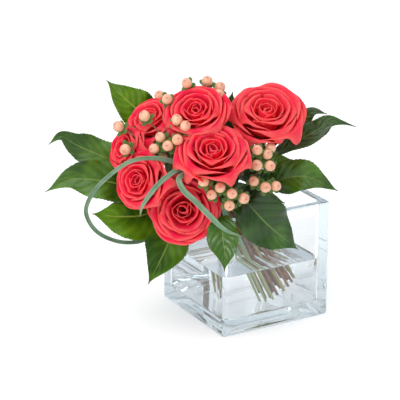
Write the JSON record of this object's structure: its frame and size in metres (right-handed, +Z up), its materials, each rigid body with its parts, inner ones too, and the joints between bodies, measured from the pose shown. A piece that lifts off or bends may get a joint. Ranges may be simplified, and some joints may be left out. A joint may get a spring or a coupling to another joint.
{
  "type": "roses in a vase",
  "caption": "Hand-tied posy of coral roses, berry sprigs, glossy leaves and grass blades, leaning over the rim of a square thick-walled glass vase with water.",
  "frame": {"origin": "middle of the vase's base, on the surface it stands on", "axes": "+Z up; X and Y run along the vase's sides, and the posy leans over the rim towards -X and -Y"},
  "size_m": [0.2425, 0.1594, 0.2076],
  "materials": {
    "vase_glass": "polished",
    "water": "polished",
    "petals": "satin",
    "sepals": "matte",
    "rose_stem_skin": "satin",
    "leaf_stem_skin": "satin",
    "leaf_blade": "gloss",
    "berries": "satin",
    "grass_blade": "satin"
  },
  "bodies": {
    "root": {"vase": "vase_glass", "rose_stem_front": "rose_stem_skin", "rose_calyx_front": "sepals", "rose_stem_right": "rose_stem_skin", "rose_calyx_right": "sepals", "rose_stem_low": "rose_stem_skin", "rose_calyx_low": "sepals", "rose_stem_top": "rose_stem_skin", "rose_calyx_top": "sepals", "rose_stem_left": "rose_stem_skin", "rose_calyx_left": "sepals", "rose_stem_upper_left": "rose_stem_skin", "rose_calyx_upper_left": "sepals", "rose_stem_far_left": "rose_stem_skin", "rose_calyx_far_left": "sepals", "leaf_stem_top_left": "leaf_stem_skin", "leaf_stem_left": "leaf_stem_skin", "leaf_stem_front": "leaf_stem_skin", "leaf_stem_right_front": "leaf_stem_skin", "leaf_stem_right": "leaf_stem_skin", "leaf_stem_upper_right": "leaf_stem_skin", "leaf_stem_back": "leaf_stem_skin", "berry_sprig_between_roses": "berries", "berry_sprig_far_left": "berries", "berry_sprig_top_left": "berries", "berry_sprig_top": "berries", "berry_sprig_right_upper": "berries", "berry_sprig_right_lower": "berries", "berry_sprig_front": "berries", "rose_bloom_front": "petals", "rose_bloom_right": "petals", "rose_bloom_low": "petals", "rose_bloom_top": "petals", "rose_bloom_left": "petals", "rose_bloom_upper_left": "petals", "rose_bloom_far_left": "petals", "leaf_top_left": "leaf_blade", "leaf_top_left_rear": "leaf_blade", "leaf_left_upper": "leaf_blade", "leaf_left_lower": "leaf_blade", "leaf_low_left": "leaf_blade", "leaf_over_left_face": "leaf_blade", "leaf_over_front_corner": "leaf_blade", "leaf_over_right_face": "leaf_blade", "leaf_under_berries": "leaf_blade", "leaf_right": "leaf_blade", "leaf_right_small": "leaf_blade", "leaf_right_curled": "leaf_blade", "leaf_right_narrow": "leaf_blade", "leaf_top_tip": "leaf_blade", "leaf_between_roses": "leaf_blade", "leaf_back_left": "leaf_blade", "leaf_back": "leaf_blade", "leaf_back_right": "leaf_blade", "grass_long_loop": "grass_blade", "grass_short": "grass_blade", "grass_over_rim": "grass_blade", "water": "water"}
  },
  "joints": []
}
